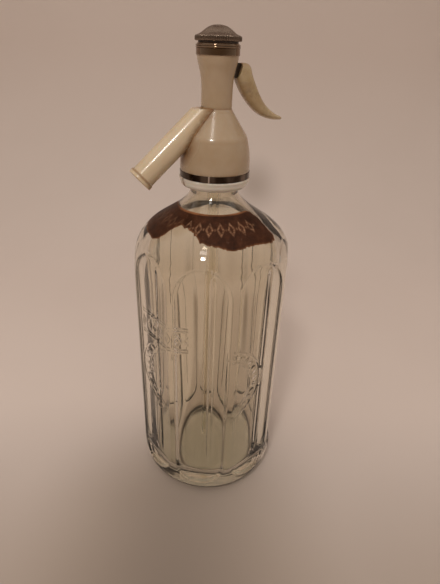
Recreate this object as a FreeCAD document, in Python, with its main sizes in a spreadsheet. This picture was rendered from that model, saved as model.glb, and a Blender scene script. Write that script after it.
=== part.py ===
import FreeCAD, Part
import os
import math
import Sketcher
from FreeCAD import Vector, Placement, Rotation

# Soda siphon: panelled glass bottle, two-part neck collar, moulded head with a
# glued spout, a lever on a cross pin, a spring-loaded lift valve under a screw
# cap, and a dip tube.  Millimetres.  Origin at the centre of the bottle's foot,
# +Z up, the spout points to -X and the lever stands on the +X side.

doc = FreeCAD.newDocument("soda_siphon")
sheet = doc.addObject("Spreadsheet::Sheet", "dims")

VALUES = [
    # bottle
    ("shoulder_r", 51.2, "largest radius, just under the shoulder"),
    ("body_r", 51.0, "radius of the ridges at mid height"),
    ("heel_r", 50.8, "radius just above the heel"),
    ("foot_r", 42.0, "outer edge of the standing ring"),
    ("kick_depth", 3.0, "height of the hollow under the bottle"),
    ("floor_z", 11.0, "inside floor"),
    ("cavity_r", 43.0, "inside radius of the body"),
    ("shoulder_z", 164.0, "top of the straight body"),
    ("neck_r", 14.6, "outside of the neck"),
    ("neck_bore_r", 9.5, "bore of the neck"),
    ("finish_r", 15.7, "bead that the collar grips"),
    ("finish_z", 226.4, "underside of the bead"),
    ("mouth_z", 236.0, "glass mouth"),
    ("panel_count", 8.0, "flat panels round the body"),
    ("panel_flat", 47.8, "distance from the axis to each panel"),
    ("panel_low", 22.0, "start of the flat part of a panel"),
    ("panel_high", 158.0, "end of the flat part of a panel"),
    # collar
    ("collar_low", 220.0, "lower edge of the collar"),
    ("collar_high", 226.0, "upper face of the collar's rim"),
    ("collar_r", 21.3, "outside of the collar's rim"),
    ("collar_screw_r", 17.6, "screwed part of the collar, mean radius"),
    ("collar_top", 236.6, "top of the screwed part"),
    ("collar_split", 85.0, "angle of the split from the front, degrees"),
    # head
    ("band_high", 229.8, "top of the metal band round the skirt"),
    ("band_r", 20.9, "outside of the metal band"),
    ("skirt_r", 20.6, "outside of the skirt"),
    ("waist_r", 8.7, "column at its narrowest"),
    ("waist_low", 263.4, "foot of the column"),
    ("column_top", 289.4, "top of the moulded column"),
    ("column_top_r", 11.4, "column under the metal bush"),
    ("valve_bore_r", 5.0, "bore that guides the valve stem"),
    ("chamber_r", 5.6, "bore of the valve chamber"),
    ("chamber_low", 252.0, "floor of the valve chamber"),
    ("chamber_high", 267.5, "top of the valve chamber"),
    ("seat_bore_r", 6.1, "bore that takes seat and ferrule"),
    # spout
    ("spout_z", 267.4, "height where the spout's axis meets the head's axis"),
    ("spout_drop", 41.6, "angle of the spout below level, degrees"),
    ("spout_len", 62.2, "from the head's axis to the mouth of the spout"),
    ("spout_r", 6.95, "outside of the spout"),
    ("spout_lip_r", 7.55, "outside of the spout's lip"),
    ("spout_bore_r", 3.4, "passage through head and spout"),
    ("spout_mouth_r", 5.3, "bore at the mouth of the spout"),
    ("spigot_r", 4.9, "spigot of the spout inside the head"),
    # lever and valve
    ("pivot_x", 7.4, "lever pin, distance from the axis"),
    ("pivot_z", 281.8, "lever pin, height"),
    ("pin_r", 1.25, "lever pin"),
    ("pin_fit", 0.06, "radial clearance of the lever on its pin"),
    ("arm_half", 1.6, "half the thickness of the lever arm"),
    ("grip_half", 4.9, "half the width of the lever grip"),
    ("stem_r", 4.93, "valve stem in its bore"),
    ("stem_top", 286.5, "spring seat on the stem"),
    ("notch_low", 278.4, "window in the stem, lower face"),
    ("notch_high", 283.5, "window in the stem, upper face"),
    ("washer_low", 252.8, "sealing face of the valve"),
    ("wire_r", 0.45, "spring wire"),
    ("coil_r", 3.45, "spring, mean radius"),
    # cap
    ("bush_r", 11.8, "outside of the metal bush"),
    ("bush_high", 295.0, "top of the metal bush"),
    ("bush_bore_r", 6.6, "screwed bore of the bush"),
    ("cap_r", 12.5, "outside of the knurled rim"),
    ("cap_low", 295.9, "underside of the rim"),
    ("cap_rim_high", 298.5, "upper edge of the rim"),
    ("cap_top", 303.5, "crown of the cap"),
    ("cap_teeth", 80.0, "teeth of the knurl"),
    # tube
    ("tube_r", 4.0, "outside of the dip tube"),
    ("tube_bore_r", 2.2, "bore of the dip tube"),
    ("tube_low", 15.0, "lower end of the dip tube"),
    ("tube_top", 244.6, "upper end of the dip tube"),
]


class Dim:
    """A number together with the sheet expression that gives it."""

    def __init__(self, value, text):
        self.v = float(value)
        self.t = text

    @staticmethod
    def of(other):
        if isinstance(other, Dim):
            return other
        return Dim(other, "%.6g" % other if other >= 0 else "(%.6g)" % other)

    def __add__(self, o):
        o = Dim.of(o)
        return Dim(self.v + o.v, "(%s + %s)" % (self.t, o.t))

    __radd__ = __add__

    def __sub__(self, o):
        o = Dim.of(o)
        return Dim(self.v - o.v, "(%s - %s)" % (self.t, o.t))

    def __rsub__(self, o):
        return Dim.of(o) - self

    def __mul__(self, o):
        o = Dim.of(o)
        return Dim(self.v * o.v, "(%s * %s)" % (self.t, o.t))

    __rmul__ = __mul__

    def __neg__(self):
        return Dim(-self.v, "(0 - %s)" % self.t)


D = {}
row = 1
for name, value, note in VALUES:
    sheet.set("A%d" % row, note)
    sheet.set("B%d" % row, "%.6g" % value)
    sheet.setAlias("B%d" % row, name)
    D[name] = Dim(value, "dims." + name)
    row += 1
doc.recompute()


def val(q):
    return q.v if isinstance(q, Dim) else float(q)


def bind(obj, prop, q):
    """Give a property its value and tie it to the sheet."""
    if isinstance(q, Dim):
        obj.setExpression(prop, q.t)
    else:
        setattr(obj, prop, q)


BODIES = []


def body(label):
    b = doc.addObject("PartDesign::Body", label)
    b.Label = label
    BODIES.append(b)
    return b


def plane(b, role):
    for o in b.Origin.OriginFeatures:
        if o.Role == role:
            return o
    raise RuntimeError(role)


def add_loop(sk, pts, construction=False):
    """Closed loop of vertices (x, y).  A triple ("arc", x, y) between two
    vertices is a point that the arc joining them passes through."""
    verts = []
    mids = []
    for p in pts:
        if p[0] == "arc":
            mids[-1] = (val(p[1]), val(p[2]))
        else:
            verts.append(p)
            mids.append(None)
    n = len(verts)
    ends = []
    for i in range(n):
        a = verts[i]
        b = verts[(i + 1) % n]
        pa = Vector(val(a[0]), val(a[1]), 0)
        pb = Vector(val(b[0]), val(b[1]), 0)
        if mids[i] is None:
            g = sk.addGeometry(Part.LineSegment(pa, pb), construction)
            ends.append((g, 1, 2))
        else:
            pm = Vector(mids[i][0], mids[i][1], 0)
            ax, ay, bx, by, cx, cy = pa.x, pa.y, pm.x, pm.y, pb.x, pb.y
            d = 2.0 * (ax * (by - cy) + bx * (cy - ay) + cx * (ay - by))
            ux = ((ax * ax + ay * ay) * (by - cy) + (bx * bx + by * by) * (cy - ay)
                  + (cx * cx + cy * cy) * (ay - by)) / d
            uy = ((ax * ax + ay * ay) * (cx - bx) + (bx * bx + by * by) * (ax - cx)
                  + (cx * cx + cy * cy) * (bx - ax)) / d
            r = math.hypot(ax - ux, ay - uy)
            ccw = (bx - ax) * (cy - ay) - (by - ay) * (cx - ax) > 0
            t0 = math.atan2(ay - uy, ax - ux)
            t1 = math.atan2(cy - uy, cx - ux)
            circ = Part.Circle(Vector(ux, uy, 0), Vector(0, 0, 1), r)
            if ccw:
                if t1 <= t0:
                    t1 += 2 * math.pi
                g = sk.addGeometry(Part.ArcOfCircle(circ, t0, t1), construction)
                ends.append((g, 1, 2))
            else:
                if t0 <= t1:
                    t0 += 2 * math.pi
                g = sk.addGeometry(Part.ArcOfCircle(circ, t1, t0), construction)
                ends.append((g, 2, 1))
            sk.addConstraint(Sketcher.Constraint("Radius", g, r))
    for i in range(n):
        g, s, e = ends[i]
        g2, s2, e2 = ends[(i + 1) % n]
        sk.addConstraint(Sketcher.Constraint("Coincident", g, e, g2, s2))
    for i in range(n):
        g, s, e = ends[i]
        for axis, kind, q in ((-2, "DistanceX", verts[i][0]), (-1, "DistanceY", verts[i][1])):
            if abs(val(q)) < 1e-9:
                sk.addConstraint(Sketcher.Constraint("PointOnObject", g, s, axis))
            else:
                c = sk.addConstraint(Sketcher.Constraint(kind, -1, 1, g, s, val(q)))
                if isinstance(q, Dim):
                    sk.setExpression("Constraints[%d]" % c, q.t)


def add_circle(sk, x, y, r):
    g = sk.addGeometry(Part.Circle(Vector(val(x), val(y), 0), Vector(0, 0, 1), val(r)), False)
    c = sk.addConstraint(Sketcher.Constraint("Radius", g, val(r)))
    if isinstance(r, Dim):
        sk.setExpression("Constraints[%d]" % c, r.t)
    for axis, kind, q in ((-2, "DistanceX", x), (-1, "DistanceY", y)):
        if abs(val(q)) < 1e-9:
            sk.addConstraint(Sketcher.Constraint("PointOnObject", g, 3, axis))
        else:
            c = sk.addConstraint(Sketcher.Constraint(kind, -1, 1, g, 3, val(q)))
            if isinstance(q, Dim):
                sk.setExpression("Constraints[%d]" % c, q.t)


def sketch(b, name, role, offset=None):
    sk = b.newObject("Sketcher::SketchObject", name)
    sk.AttachmentSupport = (plane(b, role), [""])
    sk.MapMode = "FlatFace"
    if offset is not None:
        sk.AttachmentOffset = offset
    return sk


def revolve(b, name, pts, groove=False):
    sk = sketch(b, name + "_sketch", "XZ_Plane")
    add_loop(sk, pts)
    f = b.newObject("PartDesign::Groove" if groove else "PartDesign::Revolution", name)
    f.Profile = sk
    f.ReferenceAxis = (sk, ["V_Axis"])
    f.Angle = 360.0
    b.Tip = f
    doc.recompute()
    return f


def prism(b, name, role, pts, half, cut=False):
    """Pad or pocket of a closed loop, the same length each side of the plane."""
    sk = sketch(b, name + "_sketch", role)
    add_loop(sk, pts)
    f = b.newObject("PartDesign::Pocket" if cut else "PartDesign::Pad", name)
    f.Profile = sk
    f.SideType = "Symmetric"
    bind(f, "Length", half * 2 if isinstance(half, Dim) else 2.0 * half)
    b.Tip = f
    doc.recompute()
    return f


def volume(b):
    doc.recompute()
    return b.Shape.Volume


def check_cut(b, before, what):
    now = volume(b)
    if not now < before - 1e-3:
        raise RuntimeError("%s removed nothing" % what)
    return now


# ---------------------------------------------------------------- bottle
sh, bo, he = D["shoulder_r"], D["body_r"], D["heel_r"]
ci, fz = D["cavity_r"], D["floor_z"]
sz, mz, bz = D["shoulder_z"], D["mouth_z"], D["finish_z"]
nr, nb, fr = D["neck_r"], D["neck_bore_r"], D["finish_r"]
bottle = body("bottle")
revolve(bottle, "blown_form", [
    (0.0, D["kick_depth"]),
    (8.0, D["kick_depth"]), ("arc", 24.0, 2.3),
    (D["foot_r"] - 6.0, 0.6), ("arc", 37.3, 0.15),
    (D["foot_r"] - 3.0, 0.0),
    (D["foot_r"], 0.0), ("arc", 47.7, 2.6),
    (he, 9.0),
    (bo, 50.0),
    (bo, 130.0),
    (sh, sz - 12.0),
    (sh, sz), ("arc", 49.6, sz + 16.5),
    (sh - 6.6, sz + 26.9), ("arc", 36.2, sz + 35.2),
    (24.6, sz + 41.8),
    (17.3, sz + 49.0), ("arc", 15.35, sz + 50.5),
    (nr, sz + 52.0),
    (nr, bz - 0.25), ("arc", nr.v + 0.073, bz.v - 0.073),
    (nr + 0.25, bz),
    (fr - 0.6, bz), ("arc", fr.v - 0.17, bz.v + 0.18),
    (fr, bz + 0.6),
    (fr, mz - 1.4), ("arc", fr.v - 0.42, mz.v - 0.42),
    (fr - 1.4, mz),
    (nb + 0.8, mz), ("arc", nb.v + 0.24, mz.v - 0.24),
    (nb, mz - 0.8),
    (nb, sz + 50.0), ("arc", 13.2, sz + 41.6),
    (21.0, sz + 35.8), ("arc", 30.0, sz + 30.0),
    (ci - 5.0, sz + 21.0), ("arc", 42.4, sz + 9.0),
    (ci + 0.6, sz - 6.0),
    (ci, 110.0),
    (ci - 0.4, 40.0), ("arc", 40.6, 19.0),
    (ci - 11.0, fz + 0.6), ("arc", 20.0, fz.v + 0.1),
    (8.0, fz),
    (0.0, fz),
])
v = volume(bottle)
# one panel: flat between panel_low and panel_high, running out in an arc at
# each end, so that its top draws a round arch on the shoulder
pf, pl, ph = D["panel_flat"], D["panel_low"], D["panel_high"]
panel = prism(bottle, "panel", "XZ_Plane", [
    (pf + 8.5, pl - 16.0), ("arc", pf.v + 1.9, pl.v - 8.0),
    (pf, pl),
    (pf, ph), ("arc", pf.v + 2.2, ph.v + 13.5),
    (pf + 8.5, ph + 26.0),
    (pf + 20.0, ph + 26.0),
    (pf + 20.0, pl - 16.0),
], 30.0, cut=True)
v = check_cut(bottle, v, "panel")
pattern = bottle.newObject("PartDesign::PolarPattern", "panels")
pattern.Originals = [panel]
pattern.Axis = (plane(bottle, "Z_Axis"), [""])
pattern.Angle = 360.0
pattern.Occurrences = 8
pattern.setExpression("Occurrences", "dims.panel_count")
bottle.Tip = pattern
v = check_cut(bottle, v, "panels")
# the front panel is turned 31 degrees to the left
bottle.Placement = Placement(Vector(0, 0, 0), Rotation(Vector(0, 0, 1), -121.0))

# ---------------------------------------------------------------- collar
cl, ch, cr = D["collar_low"], D["collar_high"], D["collar_r"]
cs, ct = D["collar_screw_r"], D["collar_top"]


def collar_half(label, turn):
    """Ring of 179.2 degrees that begins in the XZ plane, turned about Z."""
    b = body(label)
    f = revolve(b, label + "_ring", [
        (nr + 0.3, cl),
        (cr - 4.2, cl), ("arc", cr.v - 1.7, cl.v + 1.0),
        (cr - 0.5, cl + 3.6),
        (cr, cl + 5.2),
        (cr, ch - 0.5),
        (cr - 0.5, ch),
        (cs, ch),
        (cs, ct - 0.5),
        (cs - 0.5, ct),
        (fr + 0.25, ct),
        (fr + 0.25, bz - 0.05),
        (nr + 0.3, bz - 0.05),
    ])
    f.setExpression("Angle", "358.4 / 2")
    b.Placement = Placement(Vector(0, 0, 0), Rotation(Vector(0, 0, 1), turn))
    doc.recompute()
    return b


# the split lies 85 degrees to the left of the front, nearly under the spout
collar_front = collar_half("collar_half_front", -89.6 - D["collar_split"].v)
collar_rear = collar_half("collar_half_rear", 90.4 - D["collar_split"].v)

# ---------------------------------------------------------------- metal band
band = body("base_band")
bh, br, sk_r = D["band_high"], D["band_r"], D["skirt_r"]
revolve(band, "band_ring", [
    (br - 0.9, ch + 0.05), (br - 0.2, ch + 0.05), (br, ch + 0.3),
    (br, bh - 0.25), (br - 0.25, bh), (br - 0.9, bh)])

# ---------------------------------------------------------------- head body
head = body("head_body")
wr, wl, kt, kr = D["waist_r"], D["waist_low"], D["column_top"], D["column_top_r"]
vb, cbr, clo, chi = D["valve_bore_r"], D["chamber_r"], D["chamber_low"], D["chamber_high"]
sb = D["seat_bore_r"]
revolve(head, "head_form", [
    (cs + 0.12, ch + 0.05),
    (br - 0.9, ch + 0.05),
    (br - 0.9, bh),
    (sk_r, bh), ("arc", sk_r.v + 0.02, bh.v + 4.5),
    (sk_r - 0.35, bh + 9.0), ("arc", 19.75, 242.2),
    (18.75, 246.6), ("arc", 18.2, 248.5),
    (17.2, 250.2), ("arc", 13.2, 256.2),
    (wr + 1.0, wl - 1.9), ("arc", wr.v + 0.42, wl.v - 0.75),
    (wr + 0.12, wl - 0.35),
    (wr, wl),
    (wr, 273.0), ("arc", 9.25, 279.6),
    (kr - 0.75, kt - 4.0), ("arc", kr.v - 0.3, kt.v - 2.0),
    (kr, kt),
    (8.2, kt),
    (8.2, kt - 4.2),
    (vb, kt - 4.2),
    (vb, chi),
    (cbr, chi),
    (cbr, clo),
    (sb, clo),
    (sb, 240.05),
    (15.5, 240.05),
    (15.5, ct + 0.3),
    (cs + 0.12, ct + 0.3),
])
v = volume(head)
px, pz = D["pivot_x"], D["pivot_z"]
prism(head, "lever_slot", "XZ_Plane", [
    (vb - 1.0, pz - 4.2), (14.0, pz - 4.2), (14.0, pz + 3.5), (vb - 1.0, pz + 3.5)],
    D["arm_half"] + 0.35, cut=True)
v = check_cut(head, v, "lever slot")
# blind cross hole for the lever pin, drilled from the rear
sk = sketch(head, "pin_hole_sketch", "XZ_Plane", Placement(Vector(0, 0, 4.8), Rotation()))
add_circle(sk, px, pz, D["pin_r"])
f = head.newObject("PartDesign::Pocket", "pin_hole")
f.Profile = sk
f.Length = 20.0
head.Tip = f
doc.recompute()
if head.Shape.Volume >= v - 1.0 or f.Shape.Volume < 100:
    f.Reversed = True
    doc.recompute()
v = check_cut(head, v, "pin hole")
# passage and socket for the spout: a bore on the spout's axis
drop = math.radians(D["spout_drop"].v)
spz = D["spout_z"]


def spout_bore(name, r, start, end):
    global v
    # local plane square to the spout's axis; the axis runs down and to -X
    d = Vector(-math.cos(drop), 0, -math.sin(drop))
    at = Vector(0, 0, spz.v) + d * start
    rot = Rotation(Vector(0, 0, 1), d)
    s = sketch(head, name + "_sketch", "XY_Plane", Placement(at, rot))
    add_circle(s, 0.0, 0.0, r)
    p = head.newObject("PartDesign::Pocket", name)
    p.Profile = s
    p.Length = end - start
    p.Reversed = True
    head.Tip = p
    doc.recompute()
    v = check_cut(head, v, name)


spout_bore("spout_passage", D["spout_bore_r"], 1.0, 16.0)
spout_bore("spout_socket", D["spigot_r"] + 0.03, 14.5, 60.0)

# ---------------------------------------------------------------- spout
# built about its own axis: local z runs from the head's axis to the mouth
spout = body("spout")
sr, sl, slr = D["spout_r"], D["spout_len"], D["spout_lip_r"]
sbr, smr = D["spout_bore_r"], D["spout_mouth_r"]
revolve(spout, "spout_tube", [
    (sbr, 4.0),
    (sr, 4.0),
    (sr, sl - 3.2),
    (sr + 0.25, sl - 2.9), ("arc", slr.v - 0.12, sl.v - 2.55),
    (slr, sl - 2.1),
    (slr, sl - 0.5), ("arc", slr.v - 0.15, sl.v - 0.15),
    (slr - 0.5, sl),
    (smr + 0.4, sl),
    (smr, sl - 0.4),
    (smr, sl - 14.0),
    (sbr, sl - 28.0),
])
v = volume(spout)
# saddle: the bell of the head, revolved about the head's axis, is cut away,
# and with it the root above the ledge at the foot of the column
ca, sa = math.cos(drop), math.sin(drop)


def local(x, z):
    """Point (x, z) of the head's left half in the spout's own frame: across
    the axis, and along it from the crossing point."""
    dz = z - spz.v
    along = -x * ca - dz * sa
    across = -x * sa + dz * ca
    return across, along


bell = [(0.0, 229.0), (-20.62, 229.0), (-20.60, 234.3), (-20.25, 238.8),
        (-19.75, 242.2), (-18.75, 246.6), (-18.2, 248.5), (-17.2, 250.2),
        (-13.2, 256.2), (-9.7, 261.5), (-9.12, 262.65), (-8.82, 263.05),
        (-8.7, 263.4), (-13.4, 263.35), (-14.9, 263.05), (-16.0, 262.1),
        (-17.6, 264.5), (-17.6, 277.0), (0.0, 277.0)]
loop = []
pts = [local(x, z) for x, z in bell]
# arcs of the bell: skirt, shoulder, corner, flank and fillet
shape = [pts[0], pts[1], ("arc",) + pts[2], pts[3], ("arc",) + pts[4], pts[5],
         ("arc",) + pts[6], pts[7], ("arc",) + pts[8], pts[9], ("arc",) + pts[10],
         pts[11], pts[12], pts[13], ("arc",) + pts[14], pts[15], pts[16], pts[17], pts[18]]
sk = sketch(spout, "saddle_sketch", "XZ_Plane")
add_loop(sk, shape)
# construction line on the head's axis, the axis that the groove turns about
a0 = local(0.0, 215.0)
a1 = local(0.0, 290.0)
sk.addGeometry(Part.LineSegment(Vector(a0[0], a0[1], 0), Vector(a1[0], a1[1], 0)), True)
f = spout.newObject("PartDesign::Groove", "saddle")
f.Profile = sk
f.ReferenceAxis = (sk, ["Axis0"])
f.Angle = 360.0
spout.Tip = f
doc.recompute()
v = check_cut(spout, v, "saddle")
revolve(spout, "spigot", [
    (sbr, 14.6), (D["spigot_r"] - 0.3, 14.6), (D["spigot_r"], 14.9),
    (D["spigot_r"], 34.0), (sbr, 34.0)])
spout.Placement = Placement(Vector(0, 0, spz.v), Rotation(Vector(0, 1, 0), 180.0 + 90.0 - D["spout_drop"].v))

# ---------------------------------------------------------------- seat and tube
seat = body("valve_seat")
wl2 = D["washer_low"]
revolve(seat, "seat_form", [
    (2.4, 246.0), (sb - 0.05, 246.0), (sb - 0.05, clo - 0.05),
    (3.9, clo - 0.05), (3.9, wl2 - 0.2), ("arc", 3.5, wl2.v),
    (3.1, wl2 - 0.2), (2.4, wl2 - 0.7)])

ferrule = body("tube_ferrule")
tr, tb, tl, tt = D["tube_r"], D["tube_bore_r"], D["tube_low"], D["tube_top"]
revolve(ferrule, "ferrule_form", [
    (tr, 227.5), (tr + 2.2, 227.5), (nb - 0.4, 230.5), (nb - 0.4, 238.0),
    (15.2, 238.0), (15.2, 240.0), (sb - 0.05, 240.0), (sb - 0.05, tt), (tr, tt)])

tube_washer = body("tube_washer")
revolve(tube_washer, "tube_washer_form", [
    (2.5, tt), (5.9, tt), (5.9, 246.0), (2.5, 246.0)])

tube = body("dip_tube")
revolve(tube, "tube_form", [
    (tb, tl), (tr - 0.3, tl), ("arc", tr.v - 0.09, tl.v + 0.09), (tr, tl + 0.3),
    (tr, tt), (tb, tt)])

gasket = body("neck_gasket")
revolve(gasket, "neck_gasket_form", [
    (nb + 0.3, mz), (15.2, mz), (15.2, 238.0), (nb + 0.3, 238.0)])

# ---------------------------------------------------------------- cap group
bush = body("cap_bush")
gr, gh, gb = D["bush_r"], D["bush_high"], D["bush_bore_r"]
revolve(bush, "bush_form", [
    (gb, kt - 4.15),
    (8.15, kt - 4.15),
    (8.15, kt),
    (gr - 0.1, kt), (gr, kt + 0.2),
    (gr, gh - 2.5), (gr - 0.25, gh - 2.3), ("arc", gr.v + 0.25, gh.v - 1.85),
    (gr - 0.25, gh - 1.4), ("arc", gr.v + 0.2, gh.v - 0.95),
    (gr - 0.3, gh - 0.5), (gr - 0.6, gh),
    (gb, gh)])

cap_gasket = body("cap_gasket")
cpl = D["cap_low"]
revolve(cap_gasket, "cap_gasket_form", [
    (gb + 0.2, gh), (10.7, gh), (10.7, cpl), (gb + 0.2, cpl)])

cap = body("top_cap")
cpr, crh, cpt = D["cap_r"], D["cap_rim_high"], D["cap_top"]
revolve(cap, "cap_form", [
    (0.0, 297.3),
    (4.35, 297.3),
    (4.35, 291.0),
    (gb - 0.35, 291.0), (gb - 0.05, 291.3),
    (gb - 0.05, cpl),
    (cpr - 0.6, cpl), ("arc", cpr.v - 0.18, cpl.v + 0.18),
    (cpr, cpl + 0.6),
    (cpr, crh - 0.6), ("arc", cpr.v - 0.2, crh.v - 0.15),
    (cpr - 0.7, crh), ("arc", 10.1, 299.25),
    (8.3, 300.35), ("arc", 5.6, 302.25),
    (2.4, cpt - 0.22),
    (0.0, cpt)])
v = volume(cap)
# one round-bottomed groove of the knurl, then the whole rim
sk = sketch(cap, "knurl_sketch", "XY_Plane", Placement(Vector(0, 0, cpl.v - 0.2), Rotation()))
add_circle(sk, cpr + 0.12, 0.0, 0.36)
f = cap.newObject("PartDesign::Pocket", "knurl_groove")
f.Profile = sk
f.Length = 2.9
f.Reversed = True
cap.Tip = f
doc.recompute()
v = check_cut(cap, v, "knurl groove")
pat = cap.newObject("PartDesign::PolarPattern", "knurl")
pat.Originals = [f]
pat.Axis = (plane(cap, "Z_Axis"), [""])
pat.Angle = 360.0
pat.Occurrences = 80
pat.setExpression("Occurrences", "dims.cap_teeth")
cap.Tip = pat
v = check_cut(cap, v, "knurl")

# ---------------------------------------------------------------- lever
arm = body("lever_arm")
ah = D["arm_half"]
# blade: round nose in the stem's window, boss at the pin, root outside the
# column, tang inside the grip
prism(arm, "arm_blade", "XZ_Plane", [
    (px - 6.4, pz + 1.5), (px - 2.2, pz + 1.5), ("arc", px.v - 0.9, pz.v + 2.25),
    (px + 0.9, pz + 2.45),
    (px + 3.3, pz + 2.7),
    (px + 3.9, pz + 4.35),
    (px + 5.9, pz + 4.1),
    (px + 8.6, pz + 2.2), ("arc", px.v + 9.9, pz.v - 4.2),
    (px + 13.2, pz - 10.4),
    (px + 10.6, pz - 12.2), ("arc", px.v + 6.6, pz.v - 7.1),
    (px + 4.3, pz - 3.4),
    (px + 2.2, pz - 2.6),
    (px - 0.6, pz - 2.5), ("arc", px.v - 1.9, pz.v - 1.7),
    (px - 3.0, pz - 1.4),
    (px - 6.4, pz - 1.5), ("arc", px.v - 7.461, pz.v - 1.061),
    (px - 7.9, pz), ("arc", px.v - 7.461, pz.v + 1.061)], ah)
v = volume(arm)
sk = sketch(arm, "arm_eye_sketch", "XZ_Plane")
add_circle(sk, px, pz, D["pin_r"] + D["pin_fit"])
f = arm.newObject("PartDesign::Pocket", "arm_eye")
f.Profile = sk
f.SideType = "Symmetric"
f.Length = 12.0
arm.Tip = f
v = check_cut(arm, v, "arm eye")

grip = body("lever_handle")
gw = D["grip_half"]
# side outline: one smooth curve from the upper corner of the end face over the
# back, round the tip and along the belly to the lower corner
outline = [(6.05, 4.3), (9.4, 4.35), (11.8, 2.9), (13.15, -0.7), (14.4, -3.4),
           (15.9, -6.3), (18.0, -10.1), (20.7, -14.1), (23.8, -17.5), (27.4, -20.3),
           (31.2, -22.3), (34.3, -23.5), (35.5, -24.6), (34.0, -25.5),
           (29.4, -25.35), (24.8, -24.4), (20.4, -22.7), (16.6, -20.4),
           (13.4, -17.6), (10.9, -15.0), (8.9, -12.6), (6.9, -9.9),
           (5.2, -6.9), (3.95, -4.3), (3.45, -3.2)]
knots = [Vector(px.v + x, pz.v + z, 0) for x, z in outline]
curve = Part.BSplineCurve()
curve.interpolate(knots)
sk = sketch(grip, "grip_form_sketch", "XZ_Plane")
g0 = sk.addGeometry(curve, False)
g1 = sk.addGeometry(Part.LineSegment(knots[-1], knots[0]), False)
sk.addConstraint(Sketcher.Constraint("Coincident", g0, 2, g1, 1))
sk.addConstraint(Sketcher.Constraint("Coincident", g0, 1, g1, 2))
for pt, (x, z) in ((1, outline[-1]), (2, outline[0])):
    for kind, q in (("DistanceX", px + x), ("DistanceY", pz + z)):
        c = sk.addConstraint(Sketcher.Constraint(kind, -1, 1, g1, pt, q.v))
        sk.setExpression("Constraints[%d]" % c, q.t)
grip_pad = grip.newObject("PartDesign::Pad", "grip_form")
grip_pad.Profile = sk
grip_pad.SideType = "Symmetric"
bind(grip_pad, "Length", gw * 2)
grip.Tip = grip_pad
v = volume(grip)
# slot that holds the tang of the arm
prism(grip, "tang_slot", "XZ_Plane", [
    (px + 5.9 - 3.0, pz + 4.1 + 3.0),
    (px + 5.9, pz + 4.1),
    (px + 8.6, pz + 2.2), ("arc", px.v + 9.9, pz.v - 4.2),
    (px + 13.2, pz - 10.4),
    (px + 10.6, pz - 12.2), ("arc", px.v + 6.6, pz.v - 7.1),
    (px + 4.3, pz - 3.4),
    (px + 1.0, pz - 2.0)], ah, cut=True)
v = check_cut(grip, v, "tang slot")

pin = body("lever_pin")
sk = sketch(pin, "pin_sketch", "XZ_Plane", Placement(Vector(0, 0, 4.7), Rotation()))
add_circle(sk, px, pz, D["pin_r"])
f = pin.newObject("PartDesign::Pad", "pin_form")
f.Profile = sk
f.Length = 10.7
pin.Tip = f
doc.recompute()
if pin.Shape.BoundBox.YMin < -5.0:
    f.Reversed = True
    doc.recompute()

# ---------------------------------------------------------------- valve
stem = body("valve_stem")
st, stt = D["stem_r"], D["stem_top"]
nl, nh = D["notch_low"], D["notch_high"]
revolve(stem, "stem_form", [
    (0.0, 256.5),
    (1.2, 256.5),
    (1.2, wl2 + 2.2),
    (4.9, wl2 + 2.2), (4.9, wl2 + 4.6), (4.2, wl2 + 5.4),
    (2.6, wl2 + 6.4),
    (2.6, chi - 1.2), (3.6, chi + 0.4), (st, chi + 0.6),
    (st, 269.1), (3.15, 269.1), (3.15, 271.1), (st, 271.1),
    (st, stt - 0.3), (st - 0.3, stt),
    (2.6, stt), (2.6, stt + 2.0), (2.2, stt + 2.4), (0.0, stt + 2.4)])
v = volume(stem)
prism(stem, "stem_window", "XZ_Plane", [
    (-1.2, nl), (6.0, nl), (6.0, nh), (-1.2, nh)], ah + 0.35, cut=True)
v = check_cut(stem, v, "stem window")
f = revolve(stem, "screw_hole", [
    (0.0, wl2 - 1.0), (1.2, wl2 - 1.0), (1.2, wl2 + 8.0), (0.0, wl2 + 8.7)], groove=True)
v = check_cut(stem, v, "screw hole")

washer = body("valve_washer")
revolve(washer, "washer_form", [
    (1.25, wl2), (4.6, wl2), (4.6, wl2 + 2.2), (1.25, wl2 + 2.2)])

screw = body("washer_screw")
revolve(screw, "screw_form", [
    (0.0, wl2 - 1.3), (1.5, wl2 - 1.3), (2.1, wl2 - 0.9), (2.1, wl2),
    (1.2, wl2), (1.2, wl2 + 7.2), (0.7, wl2 + 7.8), (0.0, wl2 + 7.8)])
v = volume(screw)
prism(screw, "screw_slot", "XZ_Plane", [
    (-0.3, wl2 - 1.6), (0.3, wl2 - 1.6), (0.3, wl2 - 0.75), (-0.3, wl2 - 0.75)], 4.0, cut=True)
check_cut(screw, v, "screw slot")

seal = body("stem_seal")
sk = sketch(seal, "seal_sketch", "XZ_Plane")
add_circle(sk, 4.05, 270.1, 0.9)
f = seal.newObject("PartDesign::Revolution", "seal_form")
f.Profile = sk
f.ReferenceAxis = (sk, ["V_Axis"])
f.Angle = 360.0
seal.Tip = f

spring = body("valve_spring")
wire, coil = D["wire_r"], D["coil_r"]
sk = sketch(spring, "wire_sketch", "XZ_Plane")
add_circle(sk, coil, stt + 0.5, wire)
f = spring.newObject("PartDesign::AdditiveHelix", "spring_form")
f.Profile = sk
f.ReferenceAxis = (sk, ["V_Axis"])
f.Mode = "height-turns-angle"
f.Height = 9.75
f.Turns = 5.5
f.Angle = 0.0
f.Reversed = False
spring.Tip = f
doc.recompute()

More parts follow.
